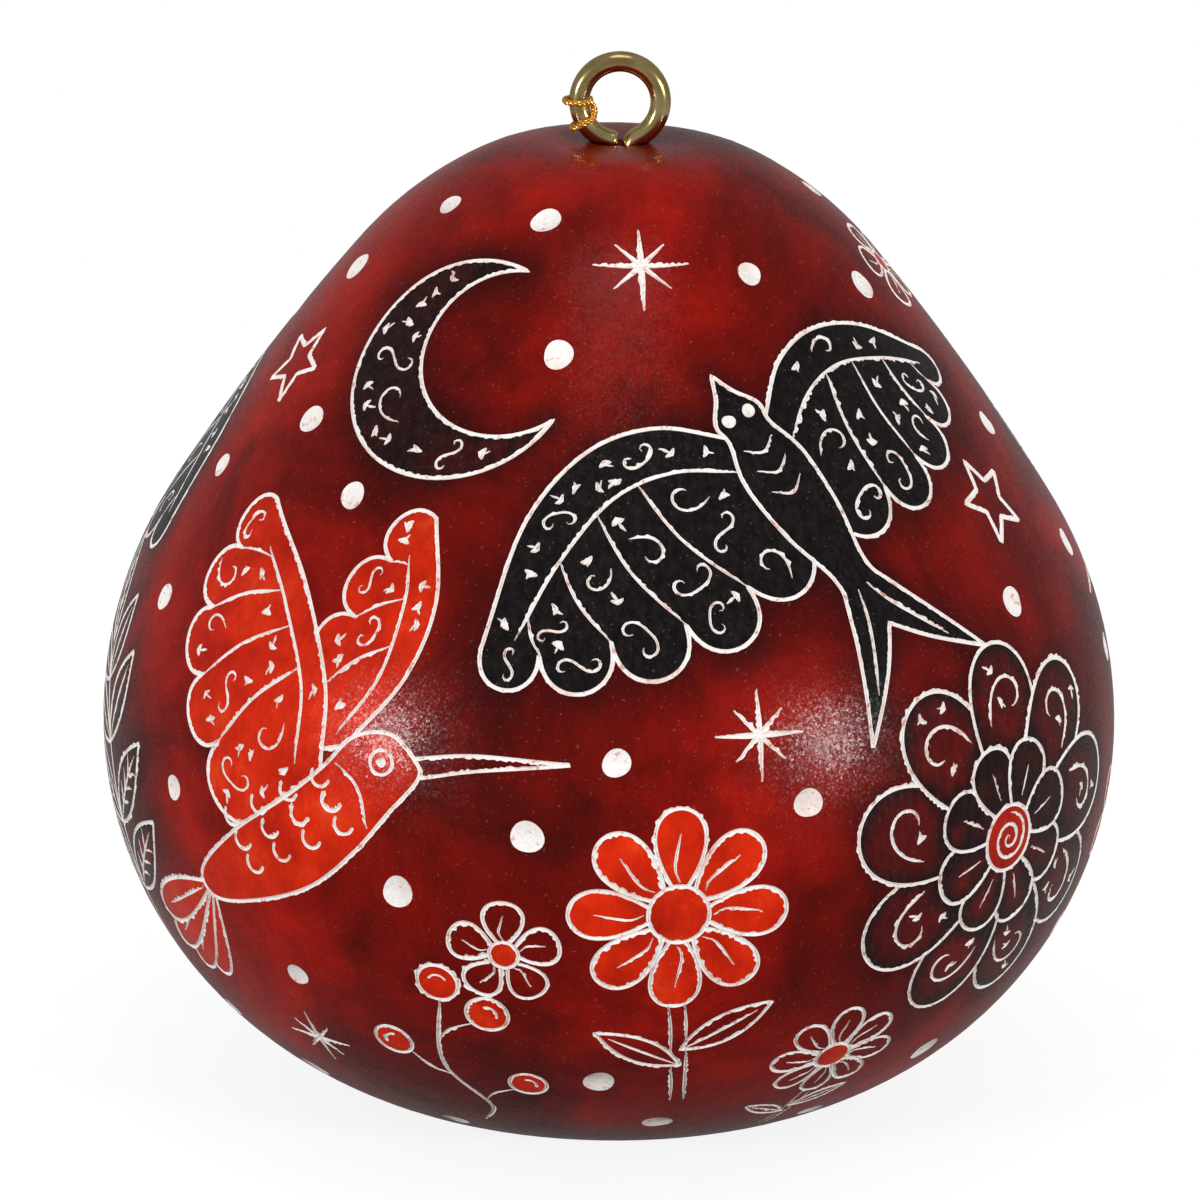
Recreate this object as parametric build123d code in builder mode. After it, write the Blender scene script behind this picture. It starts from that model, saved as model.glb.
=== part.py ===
"""Gourd ornament: a dried, hollow gourd that stands on its blossom end, with a brass screw eye in its
stem end, a short gold thread hitched round the eye, and the gourd's own dried seeds loose inside.

Millimetres, +Z up. The origin is the middle of the flat seat under the gourd. The eye's ring faces -Y.
"""

import math
import os

from build123d import *

# Gourd, outside: the outline runs from the seat round the belly and up to the dip that the stem left
belly_radius = 37.5
belly_height = 28.3
seat_outer_radius = 12.0
seat_inner_radius = 6.0
blossom_dimple_depth = 0.8
flank_inset = 4.9
flank_rise = 16.9
shoulder_inset = 13.5
shoulder_rise = 18.5
crown_inset = 8.4
crown_rise = 6.75
dip_rim_inset = 5.7
dip_rim_rise = 1.4
dip_depth = 0.2

# Gourd, inside: a thin wall drawn in straight runs, and a woody stem end that takes the screw
wall = 2.6
cavity_runs = 12
stem_root_radius = 8.0
stem_tip_radius = 4.5
stem_below_screw = 1.0

# Screw eye, bent from one brass wire
wire_diameter = 1.5
eye_inner_diameter = 4.4
eye_bed_depth = 0.55
eye_end_gap_angle = 4.0
neck_bend_radius = 1.0
shank_offset = 0.9
shank_length = 8.0
shank_point_length = 2.2
shank_point_radius = 0.15
shank_clearance = 0.02
shank_point_gap = 0.3
bed_clearance = 0.05

# Thread, hitched round the left side of the eye with both ends trimmed behind it
thread_diameter = 0.5
thread_sides = 8
thread_clearance = 0.04
hitch_drop_angle = 15.0
hitch_spread_angle = 30.0
hitch_end_angle = -150.0
hitch_turn_angle = 135.0

# Dried seeds, lying in two rings on the floor of the gourd
seed_length = 9.0
seed_width = 4.8
seed_tip_width = 2.0
seed_end_width = 3.4
seed_shoulder_height = 2.6
seed_thickness = 2.0
seed_bevel = 0.6
seed_floor_gap = 0.3
seed_scatter_angle = 12.0
inner_seed_count = 4
inner_seed_radius = 8.6
outer_seed_count = 9
outer_seed_radius = 16.6

# The arc of the lower belly, which leaves the widest point upright and ends at the seat
seat_inset = belly_radius - seat_outer_radius
belly_curve = (belly_height**2 + seat_inset**2) / (2 * seat_inset)
belly_centre_radius = belly_radius - belly_curve
cavity_curve = belly_curve - wall

# Where the side's arcs meet, each counted from the one below it
flank = Vector(belly_radius - flank_inset, belly_height + flank_rise)
shoulder = flank + Vector(-shoulder_inset, shoulder_rise)
crown = shoulder + Vector(-crown_inset, crown_rise)
dip_rim = crown + Vector(-dip_rim_inset, dip_rim_rise)
dip_floor = Vector(0, dip_rim.Y - dip_depth)

# The eye's ring is bedded in the floor of the dip, and its neck bends out of the shank beside its middle
wire_radius = wire_diameter / 2
eye_radius = (eye_inner_diameter + wire_diameter) / 2
eye_height = dip_floor.Y + eye_radius + wire_radius - eye_bed_depth
bend_offset = shank_offset + neck_bend_radius
bend_drop = math.sqrt((eye_radius + neck_bend_radius) ** 2 - bend_offset**2)
bend_height = eye_height - bend_drop
neck_turn = math.degrees(math.atan2(bend_drop, bend_offset))
ring_turn = 270 - eye_end_gap_angle + neck_turn
shank_point_height = dip_floor.Y - shank_length
stem_tip_height = shank_point_height - shank_point_gap - stem_below_screw

UP = Vector(0, 0, 1)
FRONT = Vector(0, -1, 0)

# Outline of the gourd, from the seat round the belly and over the crown into the dip: each arc after the
# first is tangent to the one before it
with BuildLine() as outline:
    arc = RadiusArc((seat_outer_radius, 0), (belly_radius, belly_height), -belly_curve)
    for end in (flank, shoulder, crown, dip_rim, dip_floor):
        arc = TangentArc(arc @ 1, end, tangent=arc % 1)
side = outline.wires()[0]


def cavity_point(share):
    """The point one wall in from the outline, at a share of its length from the seat."""
    along = side.tangent_at(share)
    return side.position_at(share) + Vector(-along.Y, along.X) * wall


with BuildPart() as cavity:
    with BuildSketch(Plane.XZ):
        with BuildLine():
            floor = Polyline((0, blossom_dimple_depth + wall), (seat_inner_radius, wall), cavity_point(0))
            roof = Polyline(*[cavity_point(run / cavity_runs) for run in range(cavity_runs + 1)])
            Polyline(roof @ 1, (0, (roof @ 1).Y), floor @ 0)
        make_face()
    revolve(axis=Axis.Z)
    # The stem end stays solid round the screw
    with Locations((0, 0, stem_tip_height)):
        Cone(
            bottom_radius=stem_tip_radius,
            top_radius=stem_root_radius,
            height=dip_floor.Y - stem_tip_height,
            align=(Align.CENTER, Align.CENTER, Align.MIN),
            mode=Mode.SUBTRACT,
        )


def eye_outward(eye_angle):
    """The way out from the eye's centre, in its plane: 0 is to the right, 90 up and 180 to the left."""
    turn = math.radians(eye_angle)
    return Vector(math.cos(turn), 0, math.sin(turn))


def bend_wire(radius, turn, mode):
    """Draws the eye's neck, which bends to the right, and its ring, which turns back over the neck."""
    with BuildSketch(Plane((shank_offset, 0, bend_height))) as neck:
        Circle(radius)
    bend_axis = Axis((bend_offset, 0, bend_height), -FRONT)
    revolve(neck.sketch, axis=bend_axis, revolution_arc=neck_turn, mode=mode)
    ring_start = UP * eye_height + eye_outward(-neck_turn) * eye_radius
    with BuildSketch(Plane(ring_start, z_dir=eye_outward(90 - neck_turn))) as ring:
        Circle(radius)
    revolve(ring.sketch, axis=Axis(UP * eye_height, FRONT), revolution_arc=turn, mode=mode)


with BuildPart() as gourd_shell:
    with BuildSketch(Plane.XZ):
        with BuildLine():
            dimple = TangentArc((0, blossom_dimple_depth), (seat_inner_radius, 0), tangent=(1, 0))
            Line(dimple @ 1, (seat_outer_radius, 0))
            add(side)
            Line(dip_floor, dimple @ 0)
        make_face()
    revolve(axis=Axis.Z)
    with Locations((shank_offset, 0, dip_floor.Y)):
        Hole(wire_radius + shank_clearance, depth=shank_length + shank_point_gap)
    add(cavity.part, mode=Mode.SUBTRACT)
    bend_wire(wire_radius + bed_clearance, 360, Mode.SUBTRACT)
gourd_shell.part.label = "gourd_shell"

with BuildPart() as screw_eye:
    shank_start = Vector(shank_offset, 0, shank_point_height + shank_point_length)
    with BuildSketch(Plane(shank_start)):
        Circle(wire_radius)
    extrude(amount=bend_height - shank_start.Z)
    with Locations(shank_start):
        Cone(
            bottom_radius=shank_point_radius,
            top_radius=wire_radius,
            height=shank_point_length,
            align=(Align.CENTER, Align.CENTER, Align.MAX),
        )
    bend_wire(wire_radius, ring_turn, Mode.ADD)
screw_eye.part.label = "screw_eye"


def thread_point(eye_angle, wrap_angle):
    """A point of a turn round the wire: wrap angle 0 is outside the ring, 90 in front and 180 inside."""
    turn = math.radians(wrap_angle)
    outward = eye_outward(eye_angle)
    reach = wire_radius + thread_clearance + thread_diameter / 2
    wire_centre = UP * eye_height + outward * eye_radius
    return wire_centre + (outward * math.cos(turn) + FRONT * math.sin(turn)) * reach


def least_gap(path, diameter, samples=240):
    """The least gap between stretches of one tube that lie more than a half turn of it apart."""
    points = [path.position_at(step / samples) for step in range(samples + 1)]
    apart = math.ceil(samples * math.pi * diameter / path.length)
    gaps = [
        (points[later] - points[first]).length - diameter
        for first in range(samples + 1)
        for later in range(first + apart, samples + 1)
    ]
    return min(gaps)


with BuildPart() as hanging_thread:
    hitch_angle = 180 + hitch_drop_angle
    upper_angle = hitch_angle - hitch_spread_angle / 2
    lower_angle = hitch_angle + hitch_spread_angle / 2
    half_wrap_angle = (hitch_end_angle + hitch_turn_angle) / 2
    upper_turn = [
        thread_point(upper_angle, angle) for angle in (hitch_end_angle, half_wrap_angle, hitch_turn_angle)
    ]
    lower_turn = [
        thread_point(lower_angle, angle) for angle in (hitch_turn_angle, half_wrap_angle, hitch_end_angle)
    ]
    with BuildLine() as hitch:
        upper = ThreePointArc(*upper_turn)
        # The bight leaves the upper turn and crosses the plane half-way to the lower one squarely
        across = eye_outward(hitch_angle + 90)
        bight_way = upper % 1 + across
        bight_reach = (UP * eye_height - upper @ 1).dot(across) / bight_way.dot(across)
        bight = TangentArc(upper @ 1, upper @ 1 + bight_way * bight_reach, tangent=upper % 1)
        TangentArc(bight @ 1, lower_turn[0], tangent=across)
        ThreePointArc(*lower_turn)
    with BuildSketch(Plane(upper @ 0, z_dir=upper % 0)):
        RegularPolygon(thread_diameter / 2, side_count=thread_sides)
    sweep(path=hitch.wires()[0])
hanging_thread.part.label = "hanging_thread"
print("thread's least gap to itself", round(least_gap(hitch.wires()[0], thread_diameter), 2), "mm")

with BuildPart() as seed:
    with BuildSketch():
        with BuildLine():
            edge = Polyline(
                (0, -seed_length / 2),
                (seed_tip_width / 2, -seed_length / 2),
                (seed_width / 2, seed_shoulder_height),
                (seed_end_width / 2, seed_length / 2),
                (0, seed_length / 2),
            )
            mirror(edge, about=Plane.YZ)
        make_face()
    extrude(amount=seed_thickness / 2, both=True)
    chamfer(seed.faces().sort_by(Axis.Z)[0].edges(), seed_bevel)
    chamfer(seed.faces().sort_by(Axis.Z)[-1].edges(), seed_bevel)


def seed_ring(count, radius):
    """Where the seeds of one ring lie on the floor, along the ring but each turned a little."""
    if radius > seat_outer_radius:
        slope = math.asin((radius - belly_centre_radius) / cavity_curve)
        floor_height = belly_height - cavity_curve * math.cos(slope)
        hollow = cavity_curve - math.sqrt(cavity_curve**2 - (seed_length / 2) ** 2)
    else:
        slope = 0
        floor_height = wall
        hollow = 0
    lift = seed_thickness / 2 + hollow + seed_floor_gap
    rest = Location((radius, 0, floor_height), (0, -math.degrees(slope), 0)) * Location((0, 0, lift))
    places = []
    for number in range(count):
        around = Location((0, 0, 0), (0, 0, 360 * number / count))
        scatter = Location((0, 0, 0), (0, 0, seed_scatter_angle * math.sin(2 * number)))
        places.append(around * rest * scatter)
    return places


with BuildPart() as dried_seeds:
    inner_ring = seed_ring(inner_seed_count, inner_seed_radius)
    outer_ring = seed_ring(outer_seed_count, outer_seed_radius)
    with Locations(*inner_ring, *outer_ring):
        add(seed.part)
dried_seeds.part.label = "dried_seeds"

os.makedirs("parts", exist_ok=True)
export_step(gourd_shell.part, "parts/gourd_shell.step")
export_step(screw_eye.part, "parts/screw_eye.step")
export_step(hanging_thread.part, "parts/hanging_thread.step")
export_step(dried_seeds.part, "parts/dried_seeds.step")
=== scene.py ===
"""Looks of the gourd ornament: the carved and dyed rind, the screw eye, the thread, the seeds and the studio.

The rind is one mesh. Its drawing is made of strokes, dots and dyed fields in a flat map of the surface, where
a bearing is a complex number: the real part runs from the underside up to the crown, and the imaginary part
is the angle round the axis, with 0 at the front. The map keeps angles, so a motif drawn in millimetres keeps
its shape.
"""

import cmath
import math
from functools import partial

import bpy
import numpy as np
from mathutils import Matrix, Vector
from mathutils.geometry import delaunay_2d_cdt
from mathutils.kdtree import KDTree


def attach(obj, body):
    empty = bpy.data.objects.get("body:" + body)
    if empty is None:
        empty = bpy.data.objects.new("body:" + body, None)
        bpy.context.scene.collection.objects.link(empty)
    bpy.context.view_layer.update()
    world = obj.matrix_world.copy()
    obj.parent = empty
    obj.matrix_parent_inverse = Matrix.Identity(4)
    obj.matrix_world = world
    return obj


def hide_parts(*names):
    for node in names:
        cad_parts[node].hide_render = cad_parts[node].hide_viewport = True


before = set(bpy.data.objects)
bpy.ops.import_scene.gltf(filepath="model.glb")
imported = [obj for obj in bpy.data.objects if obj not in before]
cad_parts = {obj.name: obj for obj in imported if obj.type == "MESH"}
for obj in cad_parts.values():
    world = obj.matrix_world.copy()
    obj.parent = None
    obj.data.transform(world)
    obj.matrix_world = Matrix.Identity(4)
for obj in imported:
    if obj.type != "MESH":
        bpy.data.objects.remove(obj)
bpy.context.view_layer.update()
chance = np.random.default_rng(11)

MM = 0.001
TURN = 2 * math.pi
TINY = 1e-15

# Outline of the gourd as radius + height * 1j, in millimetres
DIMPLE = 0.8j
SEAT_INNER = 6.0 + 0j
SEAT_OUTER = 12.0 + 0j
BELLY = 37.5 + 28.3j
FLANK = 32.6 + 45.2j
SHOULDER = 19.1 + 63.7j
CROWN = 10.7 + 70.45j
DIP_RIM = 5.0 + 71.85j
DIP_FLOOR = 71.65j
ARC_STEPS = 900
POLE_RADIUS = 0.35

# Unevenness of the rind: each wave has a share, a count round the axis, a phase and a twist up the side
SWELL = 0.1
SWELL_START = 2.0
SWELL_WAVES = ((1.0, 2, 0.8, 0.0), (0.6, 3, 2.1, 1.5), (0.4, 5, 0.0, -2.0))

# Inside of the gourd, in millimetres
WALL = 2.6
STEM_TIP = 4.5 + 62.35j
STEM_ROOT_RADIUS = 8.0
STEM_ROOT_OVERLAP = 0.6
STEM_CORNER = 2.4 - 0.4j
ROOF_RISE = 5.0
CAVITY_STRIDE = 60
CAVITY_SEGMENTS = 72

# Screw eye and its bed in the rind, in millimetres and degrees
FRONT = np.array([0.0, -1.0, 0.0])
WIRE_RADIUS = 0.75
WIRE_SIDES = 32
EYE_RADIUS = 2.95
EYE_HEIGHT = 74.8
EYE_CENTRE = np.array([0.0, 0.0, EYE_HEIGHT])
EYE_END_ANGLE = 266.0
EYE_END_SHARE = 0.8
EYE_END_LENGTH = 0.06
RING_ROWS = 110
NECK_ROWS = 14
NECK_BEND_RADIUS = 1.0
SHANK_OFFSET = 0.9
SHANK_STEP = 0.07
SHANK_POINT_HEIGHT = 63.65
SHANK_POINT_LENGTH = 2.2
SHANK_POINT_SHARE = 0.2
SCREW_PITCH = 0.65
SCREW_DEPTH = 0.19
SCREW_SLOPE = 2.6
SCREW_CREST = 0.3
SCREW_END = 1.6
SCREW_FADE = 0.5
BED_HALF_LENGTH = 1.25
BED_RADIUS = 0.95
BED_SLOPE = 0.3
BED_DEPTH = 0.75

# Thread, in millimetres and degrees
THREAD_RADIUS = 0.25
THREAD_CLEARANCE = 0.04
HITCH_ANGLE = 195
HITCH_HALF_SPREAD = 15
HITCH_WRAPS = np.linspace(-150, 135, 12)
BIGHT_WRAP = 172
BIGHT_REACH = 0.25
PLY_COUNT = 3
PLY_PITCH = 1.25
PLY_OFFSET = 0.115
PLY_RADIUS = 0.13
PLY_END_RADIUS = 0.05
PLY_SIDES = 10

# Seeds, in millimetres and degrees: each ring has a count and a radius, and each ridge a height, a place
# and a spread across the face
SEED_LENGTH = 9.0
SEED_STOPS = (-1, -0.6, 0.2, 0.58, 0.85, 1)
SEED_HALF_WIDTHS = (0.75, 1.35, 2.1, 2.35, 2.1, 1.6)
SEED_THICKNESS = 2.0
SEED_FLOOR_GAP = 0.3
SEED_SCATTER = 12.0
SEED_RINGS = ((4, 8.6), (9, 16.6))
SEED_ROWS = 23
SEED_SIDES = 24
SEED_SQUARENESS = 2.6
SEED_RIDGES = ((0.16, 0.71, 0.1), (-0.2, 0.42, 0.17))

# Cut lines, in millimetres: a pair is the range of a hand's unevenness
STROKE_STEP = 0.22
STROKE_DEPTH = 0.15
STROKE_TAPER = 1.8
STROKE_TIP_SHARE = 0.3
WIDTH_RANGE = (0.9, 1.1)
RAGGED_LIP = 0.15
RAGGED_RANGE = (0.3, 1.7)
OUTLINE_WIDTH = 0.27
FINE_WIDTH = 0.23
SCROLL_WIDTH = 0.17
STAR_WIDTH = 0.38
SHORT_TAPER = 0.9
VEINED_LENGTH = 7.0

# Fillings, in millimetres: scrolls' turns and distances in the map are in radians, tails' angles in degrees
SCROLL_TURN = 4.6
SCROLL_TAPER = 0.8
SMALL_SCROLL = 0.75
NICK_SIZE = 0.7
NICK_WIDTH = 0.58
NICK_WIDTH_RANGE = (0.75, 1.1)
NICK_DEPTH = 0.2
NICK_TAPER = 0.6
TAIL_WIDTH = 0.26
TAIL_RANGE = (0.45, 0.85)
TAIL_ANGLES = (95, 150)
FILL_TRIES = 14
FILL_SPREAD = 1.12
FILL_GAP = 0.2
FILL_WINDOW = 1.5
NO_MARK = 9.0

# Scooped dots, in millimetres: each wave of a rim has a share, a count and a phase from this range
DOT_RADIUS = 1.05
DOT_RADIUS_RANGE = (0.85, 1.12)
DOT_SPACING = 8.0
DOT_CLEARANCE = 3.2
DOT_HEIGHTS = (2.5, 69.5)
DOT_TRIES = 2600
DOT_CORNERS = 24
DOT_WAVES = ((0.05, 2), (0.03, 3))
DOT_PHASES = (0, 6)
BOWL_SHARE = 0.58
SCOOP_DEPTH = 0.26

# Net of the rind, in millimetres, with margins in radians of the map
GROUND_STEP = 1.5
GROUND_CLEARANCE = 0.5
GROUND_LEAST_COUNT = 10
CROWN_STEP = 0.3
POLE_STEP = 0.3
POLE_STEP_GROWTH = 0.35
ROW_SHARE = 0.87
CAP_CORNERS = 12
CUT_DEPTH = 0.02 * STROKE_DEPTH
GROOVE_RUN = 20
GROOVE_MARGIN = 0.6
NET_MERGE = 1e-5
CAP_MARGIN = 1e-4

# Sheet for baking, in shares of its sides: the inside of the gourd lies above the rind, and the cap on top
SHEET_MARGIN = 0.01
SHEET_WIDTH = 0.95
SHEET_HEIGHT = 0.88
SHEET_INSIDE_START = 1.02
SHEET_INSIDE_HEIGHT = 0.08
SHEET_CAP = np.array([0.5, 0.985])
SHEET_CAP_RADIUS = 0.01

# Dye: each pair is a field's share of black and of bright red, and reaches are in millimetres
BLACK = (1.0, 0.0)
DARK = (0.72, 0.0)
DUSK = (0.45, 0.1)
RED = (0.0, 1.0)
EMBER = (0.06, 0.62)
POLLEN = (0.1, 0.9)
RUST = (0.2, 0.5)
PLAIN = (0.0, 0.0)
SMOKING_BLACK = 0.5
EDGED_BLACK = 0.3
EDGE_REACH = 1.5
HALO_REACH = 1.9
HALO_SHARE = 0.75
CLOUD_REACH = 7.0
CLOUD_SHARE = 0.18

# Studio, in metres, degrees and watts: each soft box has an azimuth, an elevation, a size and a power
ROOM_LIGHT = 0.56
ROOM_GLOSS = 0.3
FLOOR_GLOW = 0.85
FLOOR_GLOSS = 0.15
FLOOR_HEIGHT = -0.00005
FLOOR_REACH = 0.2
BOX_DISTANCE = 0.6
SOFT_BOXES = {
    "left_box": (-50, 10, 0.06, 1.56),
    "right_box": (50, 10, 0.06, 1.56),
    "top_box": (0, 75, 0.25, 0.38),
}
SENSOR_WIDTH = 36
LENS = 232.6
CAMERA_ELEVATION = 16.0
CAMERA_DISTANCE = 0.573
CAMERA_ROLL = 1.07
TARGET = Vector((0, 0, 0.0375))
AIM_RIGHT = -0.000776
AIM_UP = -0.00037


# The surface and its map

def running_sum(steps):
    """The sums of the steps so far, from 0 on."""
    return np.append(0, np.cumsum(steps))


def even_turns(count):
    """Angles in even steps once round."""
    return TURN * np.arange(count) / count


def unit(vectors):
    """Vectors brought to a length of 1."""
    return vectors / np.linalg.norm(vectors, axis=-1, keepdims=True)


def tangent_arc(start, ahead, end):
    """Points of the arc that leaves start in a direction and reaches end, and the direction it has there."""
    chord = end - start
    half_turn = cmath.phase(chord / ahead)
    shares = np.arange(1, ARC_STEPS + 1) / ARC_STEPS
    reach = np.sin(half_turn * shares) / math.sin(half_turn)
    points = start + chord * reach * np.exp(1j * half_turn * (shares - 1))
    return points, ahead * cmath.exp(2j * half_turn)


def gourd_outline():
    """Points from the middle of the underside, round the belly, to the middle of the crown."""
    dimple, _ = tangent_arc(DIMPLE, 1, SEAT_INNER)
    lower_belly, _ = tangent_arc(BELLY, -1j, SEAT_OUTER)
    runs = [dimple, np.linspace(SEAT_INNER, SEAT_OUTER, ARC_STEPS)[1:-1], lower_belly[::-1], [BELLY]]
    start, ahead = BELLY, 1j
    for end in (FLANK, SHOULDER, CROWN, DIP_RIM, DIP_FLOOR):
        arc_points, ahead = tangent_arc(start, ahead, end)
        runs.append(arc_points)
        start = end
    points = np.concatenate(runs)
    return points[points.real >= POLE_RADIUS]


OUTLINE = gourd_outline()
OUTLINE_WAY = np.gradient(OUTLINE)
OUTLINE_WAY /= abs(OUTLINE_WAY)
OUTLINE_STEPS = abs(np.diff(OUTLINE))
OUTLINE_LENGTH = running_sum(OUTLINE_STEPS)
OUTLINE_RISE = running_sum(2 * OUTLINE_STEPS / (OUTLINE.real[1:] + OUTLINE.real[:-1]))
SIDE = (OUTLINE.real >= DIP_RIM.real) & (np.arange(len(OUTLINE)) > 2 * ARC_STEPS)


def bearing_at(angle, height):
    """The bearing of a place on the side, from its angle in degrees and its height."""
    return np.interp(height, OUTLINE.imag[SIDE], OUTLINE_RISE[SIDE]) + 1j * math.radians(angle)


def radius_at(bearing):
    """The radius of the gourd at a bearing, which is also the map's scale there."""
    return np.interp(bearing.real, OUTLINE_RISE, OUTLINE.real)


def outline_at(bearing):
    """The outline's point at a bearing, and the way out of the rind there."""
    point = np.interp(bearing.real, OUTLINE_RISE, OUTLINE)
    return point, -1j * np.interp(bearing.real, OUTLINE_RISE, OUTLINE_WAY)


def surface(bearing):
    """Points of the uncarved rind: the outline turned, a little uneven, and pressed in under the eye."""
    point, outward = outline_at(bearing)
    rise, turn = bearing.real, bearing.imag
    uneven = np.clip(point.imag / SWELL_START, 0, 1) * sum(
        share * np.sin(count * turn + phase + twist * rise) for share, count, phase, twist in SWELL_WAVES
    )
    across = np.maximum(abs(point.real * np.sin(turn)) - BED_HALF_LENGTH, 0)
    apart = np.hypot(across, point.real * np.cos(turn))
    pressed = np.clip((BED_RADIUS - apart) / BED_SLOPE, 0, 1) * (point.imag > CROWN.imag)
    point = point + outward * (SWELL * uneven * (point.real / BELLY.real) ** 2 - BED_DEPTH * pressed)
    return np.stack([point.real * np.sin(turn), -point.real * np.cos(turn), point.imag], axis=-1)


def surface_normals(bearing):
    """Unit normals of the uncarved rind."""
    nudge = 0.004
    inner = np.clip(bearing.real, nudge, OUTLINE_RISE[-1] - nudge) + 1j * bearing.imag
    along = surface(inner + nudge) - surface(inner - nudge)
    around = surface(inner + 1j * nudge) - surface(inner - 1j * nudge)
    return unit(np.cross(around, along))


def beside(bearing, centre):
    """Bearings with their turns counted to the side of a centre where they are nearest to it."""
    turn = (bearing.imag - centre + math.pi) % TURN - math.pi + centre
    return bearing.real + 1j * turn


def gap_to(marks, bearing):
    """How far a bearing lies from the nearest of some marks, in millimetres."""
    return abs(beside(marks, bearing.imag) - bearing).min(initial=NO_MARK) * radius_at(bearing)


def inside(bearing, field):
    """Which bearings lie within a closed outline."""
    bearing = beside(bearing, field.imag.mean())
    found = np.zeros(len(bearing), bool)
    near = (bearing.real > field.real.min()) & (bearing.real < field.real.max())
    near &= (bearing.imag > field.imag.min()) & (bearing.imag < field.imag.max())
    if near.any():
        points = bearing[near][:, None]
        start, end = field[None, :], np.roll(field, -1)[None, :]
        spans = (start.imag > points.imag) != (end.imag > points.imag)
        run = np.where(start.imag == end.imag, 1, end.imag - start.imag)
        crossing = start.real + (points.imag - start.imag) / run * (end.real - start.real)
        found[near] = (spans & (points.real < crossing)).sum(axis=1) % 2 == 1
    return found


# Curves, in millimetres

def way(angle):
    """The unit vector at an angle in degrees."""
    return cmath.exp(1j * math.radians(angle))


def ways_round(count, begin=0.0):
    """Unit vectors at even angles all round."""
    return [way(begin + 360 * number / count) for number in range(count)]


def polyline(corners, steps):
    """Straight runs from corner to corner."""
    runs = [np.linspace(start, end, steps)[:-1] for start, end in zip(corners, corners[1:])]
    return np.concatenate([*runs, corners[-1:]])


def curve(*points, closed=False, steps=10):
    """A smooth line through the points."""
    points = np.array(points, complex)
    if closed:
        padded = np.concatenate([points[-1:], points, points[:2]])
    else:
        padded = np.concatenate([[2 * points[0] - points[1]], points, [2 * points[-1] - points[-2]]])
    share = np.arange(steps) / steps
    runs = []
    for before, start, end, after in zip(padded, padded[1:], padded[2:], padded[3:]):
        bend = 2 * before - 5 * start + 4 * end - after
        twist = -before + 3 * start - 3 * end + after
        runs.append(start + 0.5 * share * ((end - before) + share * (bend + share * twist)))
    if not closed:
        runs.append(points[-1:])
    return np.concatenate(runs)


def arc(centre, radius, start, sweep, count):
    """Part of a circle, from a start angle over a sweep in degrees."""
    return centre + radius * np.exp(1j * np.radians(start + sweep * np.linspace(0, 1, count)))


def circle(centre, radius):
    """A whole circle, as a closed outline."""
    return arc(centre, radius, 0, 360, 48)[:-1]


def scroll(kind, hand):
    """A scroll about 2 across: kind 0 curls one way at both ends, 1 opposite ways, 2 at one end alone."""
    along = np.linspace(-1 if kind < 2 else 0.05, 1, 48)
    turn = SCROLL_TURN * along**2 if kind == 1 else SCROLL_TURN * along * abs(along)
    points = np.cumsum(np.exp(1j * hand * turn))
    points -= (points.real.max() + points.real.min()) / 2 + 0.5j * (points.imag.max() + points.imag.min())
    return points / abs(points).max()


def petal(length, width, tip=0.0):
    """A petal or leaf that grows from 0 along x: the larger its tip, the more it is pointed."""
    turn = np.linspace(0, math.pi, 40)
    half = np.sin(turn) * np.sin(turn / 2) * np.cos(turn / 2) ** tip
    upper = length * (1 - np.cos(turn)) / 2 + 0.5j * width * half / half.max()
    return np.concatenate([upper, upper[-2:0:-1].conj()])


# The tools of the drawing

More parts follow.
